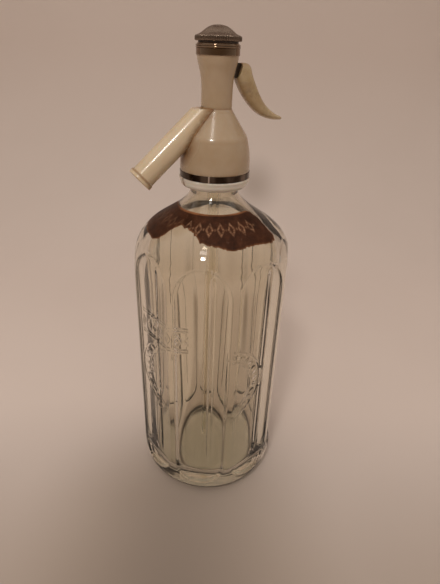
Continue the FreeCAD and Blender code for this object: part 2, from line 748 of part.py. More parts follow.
# ---------------------------------------------------------------- output
doc.recompute()
bad = []
for o in doc.Objects:
    if "Invalid" in o.State or "Error" in o.State:
        bad.append(o.Name)
if bad:
    raise RuntimeError("failed objects: " + ", ".join(bad))
os.makedirs("parts", exist_ok=True)
for b in BODIES:
    s = b.Shape
    if s.isNull() or not s.isValid() or not s.Solids:
        raise RuntimeError("bad shape: " + b.Label)
for b in BODIES:
    s = b.Shape
    s.exportStep("parts/%s.step" % b.Label)
    bb = s.BoundBox
    print("%-20s solids %d vol %9.1f  x %.2f..%.2f y %.2f..%.2f z %.2f..%.2f" % (
        b.Label, len(s.Solids), s.Volume, bb.XMin, bb.XMax, bb.YMin, bb.YMax, bb.ZMin, bb.ZMax))
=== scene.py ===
import bmesh
import bpy
import math
import numpy as np
from mathutils import Matrix, Vector


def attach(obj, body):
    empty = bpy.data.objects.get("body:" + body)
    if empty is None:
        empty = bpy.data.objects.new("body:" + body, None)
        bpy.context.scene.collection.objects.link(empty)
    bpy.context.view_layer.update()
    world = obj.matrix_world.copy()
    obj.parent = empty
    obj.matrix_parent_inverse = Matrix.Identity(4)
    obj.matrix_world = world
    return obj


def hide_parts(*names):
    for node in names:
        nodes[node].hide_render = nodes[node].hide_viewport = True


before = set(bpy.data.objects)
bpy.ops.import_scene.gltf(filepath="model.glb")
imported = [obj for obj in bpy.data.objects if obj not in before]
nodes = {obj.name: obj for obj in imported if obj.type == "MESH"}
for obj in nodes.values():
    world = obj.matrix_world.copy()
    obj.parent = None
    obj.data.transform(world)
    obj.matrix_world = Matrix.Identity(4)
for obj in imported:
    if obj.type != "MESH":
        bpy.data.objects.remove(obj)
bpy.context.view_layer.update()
scene = bpy.context.scene
MM = 0.001


# the camera, the lights and the backdrop are turned towards the spout together
TURN = math.radians(-25.0)
TURNED = Matrix.Rotation(TURN, 4, "Z")


# ------------------------------------------------------------------ camera
def make_camera():
    f, pitch, back, high = 439.54, math.radians(28.80), 0.2659, 0.2918
    roll, yaw = math.radians(2.2), math.radians(1.28)
    fw = Vector((math.sin(yaw) * math.cos(pitch), math.cos(yaw) * math.cos(pitch), -math.sin(pitch)))
    rt = Vector((math.cos(yaw), -math.sin(yaw), 0.0))
    up = rt.cross(fw)
    right = rt * math.cos(roll) + up * math.sin(roll)
    above = up * math.cos(roll) - rt * math.sin(roll)
    data = bpy.data.cameras.new("camera")
    cam = bpy.data.objects.new("camera", data)
    scene.collection.objects.link(cam)
    cam.matrix_world = TURNED @ Matrix((
        (right[0], above[0], -fw[0], 0.0),
        (right[1], above[1], -fw[1], -back),
        (right[2], above[2], -fw[2], high),
        (0, 0, 0, 1)))
    data.sensor_fit = "AUTO"
    data.sensor_width = 36
    data.lens = 36 * f / 584
    data.clip_start = 0.01
    scene.camera = cam


make_camera()
scene.view_settings.view_transform = "Standard"


# --------------------------------------------------------------- node trees
class Tree:
    """Short calls for a material's nodes."""

    def __init__(self, name):
        self.mat = bpy.data.materials.new(name)
        self.mat.use_nodes = True
        self.nt = self.mat.node_tree
        self.bsdf = self.nt.nodes["Principled BSDF"]
        self._coord = None

    def node(self, kind, **props):
        n = self.nt.nodes.new(kind)
        for k, v in props.items():
            setattr(n, k, v)
        return n

    def link(self, a, b):
        self.nt.links.new(a, b)

    def put(self, socket, value):
        if isinstance(value, bpy.types.NodeSocket):
            self.link(value, socket)
        elif value is not None:
            socket.default_value = value

    def coord(self):
        if self._coord is None:
            self._coord = self.node("ShaderNodeTexCoord").outputs["Object"]
        return self._coord

    def stretched(self, sx, sy, sz):
        m = self.node("ShaderNodeMapping")
        m.inputs["Scale"].default_value = (sx, sy, sz)
        self.link(self.coord(), m.inputs["Vector"])
        return m.outputs["Vector"]

    def noise(self, scale, detail=3.0, rough=0.55, vector=None, distortion=0.0):
        n = self.node("ShaderNodeTexNoise")
        n.inputs["Scale"].default_value = scale
        n.inputs["Detail"].default_value = detail
        n.inputs["Roughness"].default_value = rough
        n.inputs["Distortion"].default_value = distortion
        self.link(vector or self.coord(), n.inputs["Vector"])
        return n.outputs["Fac"]

    def voronoi(self, scale, vector=None, feature="F1"):
        n = self.node("ShaderNodeTexVoronoi", feature=feature)
        n.inputs["Scale"].default_value = scale
        self.link(vector or self.coord(), n.inputs["Vector"])
        return n.outputs["Distance"]

    def math(self, op, a, b=None, c=None, clamp=False):
        n = self.node("ShaderNodeMath", operation=op, use_clamp=clamp)
        self.put(n.inputs[0], a)
        if b is not None:
            self.put(n.inputs[1], b)
        if c is not None:
            self.put(n.inputs[2], c)
        return n.outputs[0]

    def vmath(self, op, a, b=None, out=0):
        n = self.node("ShaderNodeVectorMath", operation=op)
        self.put(n.inputs[0], a)
        if b is not None:
            self.put(n.inputs[1], b)
        return n.outputs[out]

    def span(self, value, a, b, lo=0.0, hi=1.0):
        """Smooth step of value from a to b, giving lo to hi."""
        n = self.node("ShaderNodeMapRange", interpolation_type="SMOOTHSTEP")
        self.put(n.inputs["Value"], value)
        n.inputs["From Min"].default_value = a
        n.inputs["From Max"].default_value = b
        n.inputs["To Min"].default_value = lo
        n.inputs["To Max"].default_value = hi
        return n.outputs["Result"]

    def ramp(self, fac, stops):
        n = self.node("ShaderNodeValToRGB")
        el = n.color_ramp.elements
        while len(el) < len(stops):
            el.new(0.5)
        for e, (pos, col) in zip(el, stops):
            e.position = pos
            e.color = (*col, 1) if len(col) == 3 else col
        self.link(fac, n.inputs["Fac"])
        return n.outputs["Color"]

    def mix(self, fac, a, b, kind="MIX"):
        n = self.node("ShaderNodeMix", data_type="RGBA", blend_type=kind)
        self.put(n.inputs[0], fac)
        for s, v in ((n.inputs[6], a), (n.inputs[7], b)):
            self.put(s, (*v, 1) if isinstance(v, tuple) and len(v) == 3 else v)
        return n.outputs[2]

    def bump(self, height, strength, distance, normal=None):
        n = self.node("ShaderNodeBump")
        n.inputs["Strength"].default_value = strength
        n.inputs["Distance"].default_value = distance
        self.link(height, n.inputs["Height"])
        if normal is not None:
            self.link(normal, n.inputs["Normal"])
        return n.outputs["Normal"]

    def xyz(self):
        n = self.node("ShaderNodeSeparateXYZ")
        self.link(self.coord(), n.inputs[0])
        return n.outputs

    def attribute(self, name):
        n = self.node("ShaderNodeAttribute", attribute_name=name)
        return n.outputs["Fac"]

    def set(self, **values):
        for k, v in values.items():
            socket = self.bsdf.inputs[k.replace("_", " ")]
            if isinstance(v, tuple) and len(v) == 3 and socket.type == "RGBA":
                v = (*v, 1)
            self.put(socket, v)
        return self


def wear(t, lo, hi, scratch=0.02, grain=900.0):
    """Roughness from lo to hi with fine rubbing marks and grain."""
    long = t.noise(420.0, 4, 0.6, t.stretched(1.0, 1.0, 0.16))
    fine = t.noise(grain, 3, 0.6)
    both = t.math("MULTIPLY_ADD", long, 0.6, t.math("MULTIPLY", fine, 0.4))
    return t.span(both, 0.3, 0.72, lo, hi)


# bell of the head: radius against height, used for stains at the saddle
BELL = [(229.8, 20.6), (238.8, 20.25), (242.2, 19.75), (246.6, 18.75), (250.2, 17.2),
        (253.3, 15.2), (256.2, 13.2), (261.5, 9.7), (263.4, 8.7), (270.0, 8.7)]
SPOUT_Z = 267.4
SPOUT_R = 6.95
SPOUT_LEN = 62.2
DROP = math.radians(41.6)
AXIS = Vector((-math.cos(DROP), 0.0, -math.sin(DROP)))


SPLIT = (math.sin(math.radians(5.0)), -math.cos(math.radians(5.0)), 0.0)


def ivory(name, base, deep, pale, stain_kind=None):
    """Moulded ivory plastic: slow colour drift, darker flow marks, specks."""
    t = Tree(name)
    cloud = t.noise(38.0, 4, 0.6)
    flow = t.noise(95.0, 3, 0.6, t.stretched(1.0, 1.0, 0.25), 0.6)
    col = t.ramp(cloud, [(0.22, deep), (0.5, base), (0.80, pale)])
    col = t.mix(t.span(flow, 0.52, 0.78, 0.0, 0.10), col, deep)
    specks = t.span(t.voronoi(520.0), 0.02, 0.10, 1.0, 0.0)
    rare = t.span(t.noise(160.0, 2, 0.5), 0.60, 0.66, 0.0, 1.0)
    col = t.mix(t.math("MULTIPLY", specks, t.math("MULTIPLY", rare, 0.5)), col, (0.20, 0.12, 0.06))
    rough = wear(t, 0.22, 0.27)
    x, y, z = t.xyz()
    if stain_kind:
        grime = t.noise(260.0, 5, 0.65, None, 0.4)
        if stain_kind == "head":
            at = t.vmath("SUBTRACT", t.coord(), (0.0, 0.0, SPOUT_Z * MM))
            off = t.vmath("LENGTH", t.vmath("CROSS_PRODUCT", at, tuple(AXIS)), out=1)
            left = t.span(x, -0.002, -0.006, 0.0, 1.0)
            ring = t.math("MULTIPLY", t.span(off, 0.0070, 0.0108, 1.0, 0.0), left)
            ring = t.math("MULTIPLY", ring, t.span(z, 0.2634, 0.2650, 1.0, 0.0))
            low = t.math("MULTIPLY", t.span(z, 0.250, 0.241, 0.0, 1.0), t.span(z, 0.2310, 0.2345, 0.0, 1.0))
            low = t.math("MULTIPLY", low, t.span(off, 0.0072, 0.0150, 1.0, 0.0))
            low = t.math("MULTIPLY", low, left)
            mask = t.math("MULTIPLY", ring, t.span(grime, 0.36, 0.62, 0.15, 0.75))
            mask = t.math("MAXIMUM", mask, t.math("MULTIPLY", low, t.span(grime, 0.30, 0.52, 0.45, 1.0)))
            foot = t.math("MULTIPLY", t.span(z, 0.2312, 0.2298, 0.0, 1.0), t.span(grime, 0.35, 0.65, 0.1, 0.8))
            mask = t.math("MAXIMUM", mask, foot)
            ledge = t.math("MULTIPLY", t.span(z, 0.2628, 0.2634, 0.0, 1.0), t.span(z, 0.2645, 0.2636, 0.0, 1.0))
            mask = t.math("MAXIMUM", mask, t.math("MULTIPLY", ledge, 0.45))
        elif stain_kind == "spout":
            flat = t.node("ShaderNodeCombineXYZ")
            t.link(x, flat.inputs[0])
            t.link(y, flat.inputs[1])
            rad = t.vmath("LENGTH", flat.outputs[0], out=1)
            curve = t.node("ShaderNodeFloatCurve")
            c = curve.mapping.curves[0]
            pts = [((h - 228.0) / 44.0, r / 24.0) for h, r in BELL]
            c.points[0].location = pts[0]
            c.points[1].location = pts[-1]
            for p in pts[1:-1]:
                c.points.new(*p)
            for p in c.points:
                p.handle_type = "VECTOR"
            curve.mapping.update()
            t.link(t.math("MULTIPLY_ADD", z, 1000.0 / 44.0, -228.0 / 44.0),
                   curve.inputs["Value"])
            off = t.math("SUBTRACT", rad, t.math("MULTIPLY", curve.outputs[0], 0.024))
            mask = t.math("MULTIPLY", t.span(off, 0.0002, 0.0050, 1.0, 0.0), t.span(grime, 0.30, 0.60, 0.2, 0.95))
            low = t.math("MULTIPLY", t.span(off, 0.0, 0.0075, 1.0, 0.0), t.span(z, 0.250, 0.238, 0.0, 1.0))
            mask = t.math("MAXIMUM", mask, t.math("MULTIPLY", low, t.span(grime, 0.30, 0.6, 0.2, 0.9)))
            at = t.vmath("SUBTRACT", t.coord(), (0.0, 0.0, SPOUT_Z * MM))
            along = t.vmath("DOT_PRODUCT", at, tuple(AXIS), out=1)
            lip = t.math("MULTIPLY", t.span(along, 0.0588, 0.0597, 0.0, 1.0), t.span(along, 0.0611, 0.0601, 0.0, 1.0))
            mask = t.math("MAXIMUM", mask, t.math("MULTIPLY", lip, t.span(grime, 0.3, 0.6, 0.3, 0.8)))
        elif stain_kind == "grip":
            rub = t.noise(70.0, 4, 0.6, None, 0.5)
            mask = t.math("MULTIPLY", t.span(rub, 0.48, 0.66, 0.0, 0.55), t.span(z, 0.262, 0.272, 0.15, 1.0))
            edge = t.math("MULTIPLY", t.span(z, 0.2800, 0.2860, 0.0, 0.5), t.span(grime, 0.35, 0.6, 0.2, 1.0))
            mask = t.math("MAXIMUM", mask, edge)
        elif stain_kind == "collar":
            # dirt held in the split, whose plane is 5 degrees off the XZ plane
            dist = t.math("ABSOLUTE", t.vmath("DOT_PRODUCT", t.coord(), SPLIT, out=1))
            mask = t.math("MULTIPLY", t.span(dist, 0.0002, 0.0028, 1.0, 0.0), t.span(grime, 0.28, 0.6, 0.2, 0.95))
            rim = t.math("MULTIPLY", t.span(z, 0.2248, 0.2262, 0.0, 0.6), t.span(grime, 0.35, 0.65, 0.1, 1.0))
            mask = t.math("MAXIMUM", mask, rim)
        dirt = t.ramp(grime, [(0.3, (0.10, 0.045, 0.018)), (0.6, (0.30, 0.16, 0.065))])
        col = t.mix(mask, col, dirt)
        rough = t.math("MULTIPLY_ADD", mask, 0.35, rough, clamp=True)
    h = t.math("MULTIPLY_ADD", t.noise(55.0, 2, 0.5), 1.0, t.math("MULTIPLY", t.noise(1500.0, 2, 0.5), 0.012))
    t.set(Base_Color=col, Roughness=rough, Normal=t.bump(h, 0.25, 0.0006),
          Subsurface_Weight=0.18, Subsurface_Radius=(1.0, 0.55, 0.30), Subsurface_Scale=0.003,
          Specular_IOR_Level=0.5, Coat_Weight=0.35, Coat_Roughness=0.05)
    return t.mat


def metal(name, base, dull, rough_lo, rough_hi, patina=0.25, turned=None, bump_depth=0.00004, painted_reflections=None):
    """Plated metal: base colour broken by duller patches, turning marks, and upright painted reflections where they are
    listed.
    """
    t = Tree(name)
    cloud = t.noise(140.0, 5, 0.65, None, 0.3)
    spots = t.span(t.voronoi(700.0), 0.03, 0.16, 1.0, 0.0)
    pits = t.math("MULTIPLY", spots, t.span(t.noise(120.0, 2, 0.5), 0.56, 0.64))
    col = t.mix(t.span(cloud, 0.42, 0.7, 0.0, patina), base, dull)
    col = t.mix(t.math("MULTIPLY", pits, 0.7), col, tuple(c * 0.35 for c in dull))
    rough = wear(t, rough_lo, rough_hi)
    rough = t.math("MULTIPLY_ADD", pits, 0.35, rough, clamp=True)
    for angle, half, colour in painted_reflections or ():
        # painted reflections: upright stripes, light and dark, on the plating, standing in for the room it reflects
        a = math.radians(angle) + TURN
        side = t.math("ABSOLUTE", t.vmath("DOT_PRODUCT", t.coord(), (math.cos(a), math.sin(a), 0.0), out=1))
        ahead = t.span(t.vmath("DOT_PRODUCT", t.coord(), (math.sin(a), -math.cos(a), 0.0), out=1), 0.0, 0.004)
        mark = t.math("MULTIPLY", t.span(side, half * 0.4, half, 1.0, 0.0), ahead)
        col = t.mix(t.math("MULTIPLY", mark, t.span(t.noise(500.0, 3, 0.6), 0.25, 0.5, 0.55, 1.0)), col, colour)
    h = t.noise(1300.0, 2, 0.5)
    if turned:
        lines = t.noise(turned, 3, 0.7, t.stretched(0.02, 0.02, 1.0))
        h = t.math("MULTIPLY_ADD", lines, 1.0, t.math("MULTIPLY", h, 0.2))
    t.set(Base_Color=col, Metallic=1.0, Roughness=rough, Normal=t.bump(h, 0.3, bump_depth))
    return t.mat


def rubber(name, dark, pale):
    t = Tree(name)
    col = t.mix(t.span(t.noise(300.0, 5, 0.65), 0.35, 0.75), dark, pale)
    t.set(Base_Color=col, Roughness=t.span(t.noise(900.0, 3, 0.6), 0.3, 0.7, 0.45, 0.75),
          Normal=t.bump(t.noise(1600.0, 3, 0.6), 0.4, 0.00008))
    return t.mat


def seat_plastic(name):
    t = Tree(name)
    col = t.mix(t.span(t.noise(200.0, 4, 0.6), 0.3, 0.7), (0.70, 0.68, 0.60), (0.80, 0.79, 0.73))
    t.set(Base_Color=col, Roughness=wear(t, 0.25, 0.45), Subsurface_Weight=0.15,
          Subsurface_Radius=(1.0, 0.8, 0.6), Subsurface_Scale=0.002,
          Normal=t.bump(t.noise(900.0, 2, 0.5), 0.2, 0.00005))
    return t.mat


def clear(name, tint, rough_lo, rough_hi, ior, wave, depth, foot=False):
    """Clear glass or plastic: nearly smooth, slow waves, worn rougher where it stands."""
    t = Tree(name)
    x, y, z = t.xyz()
    rough = wear(t, rough_lo, rough_hi, grain=1400.0)
    if foot:
        rub = t.math("MULTIPLY", t.span(z, 0.0045, 0.0012, 0.0, 0.22), t.span(t.noise(800.0, 4, 0.6), 0.4, 0.65))
        rough = t.math("ADD", rough, rub, clamp=True)
    h = t.noise(wave, 2, 0.5, t.stretched(1.0, 1.0, 0.45))
    t.set(Base_Color=t.mix(t.span(t.noise(30.0, 2, 0.5), 0.3, 0.7), tint, tuple(min(1.0, c * 1.01) for c in tint)),
          Roughness=rough, Transmission_Weight=1.0, IOR=ior, Normal=t.bump(h, 0.25, depth))
    return t.mat


M = {}
M["glass"] = clear("bottle_glass", (0.892, 0.856, 0.758), 0.0, 0.012, 1.5, 42.0, 0.00012, foot=True)
M["tube"] = clear("tube_plastic", (0.95, 0.93, 0.87), 0.01, 0.05, 1.48, 90.0, 0.0001)
M["head"] = ivory("head_plastic", (0.475, 0.355, 0.235), (0.41, 0.290, 0.175), (0.53, 0.410, 0.290), "head")
M["spout"] = ivory("spout_plastic", (0.68, 0.545, 0.370), (0.60, 0.455, 0.285), (0.73, 0.605, 0.440), "spout")
M["grip"] = ivory("lever_plastic", (0.50, 0.380, 0.220), (0.41, 0.285, 0.140), (0.56, 0.445, 0.285), "grip")
M["collar"] = ivory("collar_plastic", (0.83, 0.770, 0.680), (0.74, 0.670, 0.570), (0.88, 0.835, 0.760), "collar")
# painted reflections: the band's near-black base colour stands in for the dim room the chrome reflects, and its listed
# stripes (light near the front, dark on either side, pale further round) are painted too
M["band"] = metal("band_chrome", (0.078, 0.058, 0.044), (0.028, 0.018, 0.012), 0.05, 0.16, 0.6, turned=2600.0,
                  painted_reflections=((-8.8, 0.0006, (0.36, 0.30, 0.26)), (-30.0, 0.0040, (0.020, 0.012, 0.008)),
                          (10.0, 0.0050, (0.022, 0.014, 0.009)), (52.0, 0.0030, (0.20, 0.155, 0.125))))
# painted reflection: the bush's dark brown base colour stands in for the dim room its chrome reflects
M["bush"] = metal("bush_chrome", (0.27, 0.190, 0.130), (0.12, 0.075, 0.045), 0.05, 0.16, 0.3, turned=2400.0)
M["cap"] = metal("cap_dull_chrome", (0.240, 0.182, 0.142), (0.125, 0.090, 0.067), 0.20, 0.36, 0.5)
M["arm"] = metal("arm_steel", (0.10, 0.085, 0.075), (0.05, 0.04, 0.033), 0.28, 0.5, 0.5)
M["pin"] = metal("pin_steel", (0.45, 0.42, 0.39), (0.25, 0.21, 0.17), 0.15, 0.32, 0.4)
M["brass"] = metal("valve_brass", (0.62, 0.42, 0.17), (0.34, 0.21, 0.08), 0.14, 0.34, 0.4, turned=1800.0)
M["spring"] = metal("spring_steel", (0.50, 0.48, 0.46), (0.30, 0.27, 0.24), 0.18, 0.34, 0.3)
M["seal"] = rubber("seal_rubber", (0.018, 0.016, 0.015), (0.055, 0.05, 0.045))
M["gasket"] = rubber("gasket_rubber", (0.045, 0.030, 0.024), (0.11, 0.075, 0.055))
M["seat"] = seat_plastic("seat_plastic")

for name, key in {
        "collar_half_front": "collar", "collar_half_rear": "collar", "base_band": "band",
        "head_body": "head", "spout": "spout", "valve_seat": "seat", "tube_ferrule": "brass",
        "tube_washer": "seal", "dip_tube": "tube", "neck_gasket": "gasket", "cap_bush": "bush",
        "cap_gasket": "gasket", "top_cap": "cap", "lever_arm": "arm", "lever_handle": "grip",
        "lever_pin": "pin", "valve_stem": "brass", "valve_washer": "seal", "washer_screw": "brass",
        "stem_seal": "seal", "valve_spring": "spring", "bottle": "glass"}.items():
    o = nodes[name]
    if not o.material_slots:
        o.data.materials.append(M[key])
    for s in o.material_slots:
        s.material = M[key]


# --------------------------------------------------------------- mesh tools
def smooth_step(a, b, x):
    t = np.clip((np.asarray(x, float) - a) / (b - a), 0, 1)
    return t * t * (3 - 2 * t)


def link_mesh(name, verts, faces, mat, smooth=True):
    me = bpy.data.meshes.new(name)
    me.from_pydata([tuple(v) for v in np.asarray(verts) * MM], [], faces)
    me.update()
    bm = bmesh.new()
    bm.from_mesh(me)
    bmesh.ops.recalc_face_normals(bm, faces=bm.faces)
    bm.to_mesh(me)
    bm.free()
    o = bpy.data.objects.new(name, me)
    scene.collection.objects.link(o)
    if smooth:
        me.shade_smooth()
    me.materials.append(mat)
    return o


def rings_to_mesh(name, rings, mat, closed=False):
    """Rings of equal length, one after another; the first and last are filled."""
    n, k = len(rings), len(rings[0])
    verts = np.concatenate(rings)
    faces = []
    idx = np.arange(k)
    nxt = np.roll(idx, -1)
    last = n if closed else n - 1
    for i in range(last):
        a, b = i * k, ((i + 1) % n) * k
        faces += np.stack([a + idx, a + nxt, b + nxt, b + idx], -1).tolist()
    if not closed:
        faces.append(idx[::-1].tolist())
        faces.append(((n - 1) * k + idx).tolist())
    return link_mesh(name, verts, faces, mat)


# ------------------------------------------------------------------- bottle
RIDGE = math.radians(16.5)
PANELS = 8
RIB = math.radians(1.1)
OUT_Z = [0, 3, 8, 15, 25, 40, 60, 80, 100, 120, 140, 155, 165, 172, 179, 185, 190, 194, 198, 202, 206, 210, 213.5, 216, 219, 224, 240]
OUT_R = [43, 46.8, 49.7, 50.75, 50.95, 51.0, 51.0, 51.0, 51.0, 51.0, 51.1, 51.15, 51.1, 50.8, 50.1, 48.4, 45.7, 42.4, 37.7, 31.5, 25.2, 20.0, 16.3, 14.7, 14.6, 14.6, 14.6]
_z = np.linspace(0, 240, 2401)
_r = np.interp(_z, OUT_Z, OUT_R)
_r = np.convolve(np.pad(_r, 20, mode="edge"), np.ones(41) / 41, "valid")
_r = np.minimum(_r, np.where(_z > 216.3, 14.6, 99))


def outer_radius(z):
    return np.interp(z, _z, _r)


def relief(th, z):
    """Low ornament pressed into the outside, in mm: a band of lozenges between
    double lines on the left, and two arcs of beads."""
    deg = np.degrees(th)
    u = 51.0 * th
    h = np.zeros_like(u)

    def bar(c, half, x):
        return np.clip(1 - ((x - c) / half) ** 2, 0, 1)

    ends = smooth_step(-66, -63, deg) * (1 - smooth_step(-18, -15.5, deg))
    for level in (144.6, 142.7, 129.0, 127.1):
        h = np.maximum(h, 0.52 * bar(level, 0.70, z) * ends)
    pitch = 7.0
    du = (u / pitch + 0.5) % 1.0 - 0.5
    d = np.abs(du) * pitch / 2.7 + np.abs(z - 135.9) / 4.6
    h = np.maximum(h, 0.60 * np.clip(1 - ((d - 0.82) / 0.24) ** 2, 0, 1) * ends)
    h = np.maximum(h, 0.60 * np.clip(1 - (d / 0.32) ** 2, 0, 1) * ends)
    cu, cz, ru, rz = -9.5, 101.0, 45.2, 30.5
    q = np.hypot((u - cu) / ru, (z - cz) / rz)
    ang = np.arctan2((z - cz) / rz, (u - cu) / ru)
    near = np.minimum(np.abs(ang), np.abs(np.pi - np.abs(ang)))
    arc = 1 - smooth_step(0.98, 1.06, near)
    span = (q - 1.0) * 33.0
    for off in (-3.4, 3.4):
        h = np.maximum(h, 0.40 * bar(off, 0.62, span) * arc)
    n = 40
    da = ((ang / (2 * np.pi) * n + 0.5) % 1.0 - 0.5) * 2 * np.pi / n * 36.0
    bead = np.hypot(da / 2.3, span / 1.7)
    h = np.maximum(h, 0.50 * np.sqrt(np.clip(1 - bead ** 2, 0, 1)) * arc)
    return h


def make_bottle():
    Z = np.concatenate([
        np.linspace(0, 20, 22), np.linspace(20, 70, 20)[1:], np.linspace(70, 147, 194)[1:],
        np.linspace(147, 190, 44)[1:], np.linspace(190, 226.1, 46)[1:]])
    half = math.pi / PANELS
    fine = np.linspace(math.radians(-70), math.radians(46), 350)
    rest = np.linspace(math.radians(46), math.radians(290), 330)[1:-1]
    th = np.concatenate([fine, rest])
    k = len(th)
    u = ((th - RIDGE) / (2 * half)) % 1.0
    dth = (u - 0.5) * 2 * half
    v = np.abs(dth) / half
    HW, TOP, ARCH, LOW, ARCHB, EDGE, DEP = 0.93, 185.0, 20.0, 14.0, 14.0, 0.16, 0.2
    # distance in mm along the arc from the middle of the nearest rib
    dr = ((th - RIB) / (2 * half) + 0.5) % 1.0 - 0.5
    dr = np.abs(dr) * 2 * half * 50.0
    sin, cos = np.sin(th + TURN), -np.cos(th + TURN)
    dwrap = np.where(th > math.pi, th - 2 * math.pi, th)

    def ring(r, z):
        return np.stack([r * sin, r * cos, np.full(k, z)], -1)

    outer = []
    for z in Z:
        R = outer_radius(z)
        t = 1.0
        if z > TOP - ARCH:
            t = math.sqrt(max(0.0, 1 - min(1.0, (z - (TOP - ARCH)) / ARCH) ** 2))
        if z < LOW + ARCHB:
            t = min(t, math.sqrt(max(0.0, 1 - min(1.0, (LOW + ARCHB - z) / ARCHB) ** 2)))
        w = HW * t
        if w < 1e-4:
            r = np.full(k, R)
        else:
            flat = R * math.cos(half * HW) / np.cos(np.clip(dth, -half * HW, half * HW))
            d = (R - flat) * smooth_step(0, EDGE, 1 - v / w) * t + DEP * np.clip(1 - (v / w) ** 2, 0, 1) * t
            r = R - np.where(v < w, d, 0)
        away = np.hypot(dr, 0.42 * max(0.0, z - 175.0))
        away = np.hypot(away, 0.10 * max(0.0, 48.0 - z))
        rib = 1 - smooth_step(0.8, 2.2, away)
        r = np.minimum(r + 0.95 * rib * min(1.0, max(0.0, (R - r.min()) / 2.0)), R)
        if 70 < z < 147:
            r = np.minimum(r + relief(dwrap, np.full(k, z)), 51.19)
        outer.append(ring(r, z))
    # bead that the collar grips, and the mouth
    for r, z in ((14.62, 226.3), (15.1, 226.42), (15.55, 226.75), (15.7, 227.3), (15.7, 234.3),
                 (15.45, 235.4), (14.9, 235.85), (14.3, 236.0), (10.4, 236.0), (9.8, 235.75), (9.5, 235.2)):
        outer.append(ring(np.full(k, r), z))
    zi = [7.4, 7.8, 9, 11.4, 17, 28, 60, 100, 140, 155, 165, 172, 179, 185, 190, 194, 198, 202, 206, 210, 214, 218, 234.8]
    ri = [0.01, 22, 34, 39.3, 42.2, 42.7, 42.9, 43, 43.3, 43.6, 43.8, 43.4, 42.6, 40.8, 38, 34.5, 30.4, 25.4, 20.2, 15.5, 11.5, 9.5, 9.5]
    pts = np.array(list(zip(ri, zi)), float)
    seg = np.r_[0, np.cumsum(np.hypot(*np.diff(pts, axis=0).T))]
    s = np.linspace(0, seg[-1], 150)
    pr, pz = np.interp(s, seg, pts[:, 0]), np.interp(s, seg, pts[:, 1])
    box5 = np.ones(7) / 7
    pr = np.convolve(np.pad(pr, 3, mode="edge"), box5, "valid")
    pz = np.convolve(np.pad(pz, 3, mode="edge"), box5, "valid")
    pr[0] = 0.05
    inner = [ring(np.full(k, a), b) for a, b in zip(pr, pz)][::-1]
    base = [ring(np.full(k, a), b) for a, b in (
        (0.05, 3.0), (8, 2.98), (16, 2.7), (25, 2.05), (32, 1.15), (36, 0.5), (38.4, 0.12), (40, 0.0), (41.6, 0.0))]
    o = rings_to_mesh("glass_bottle", base + outer + inner, M["glass"])
    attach(o, "siphon")
    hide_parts("bottle")
    return o


make_bottle()


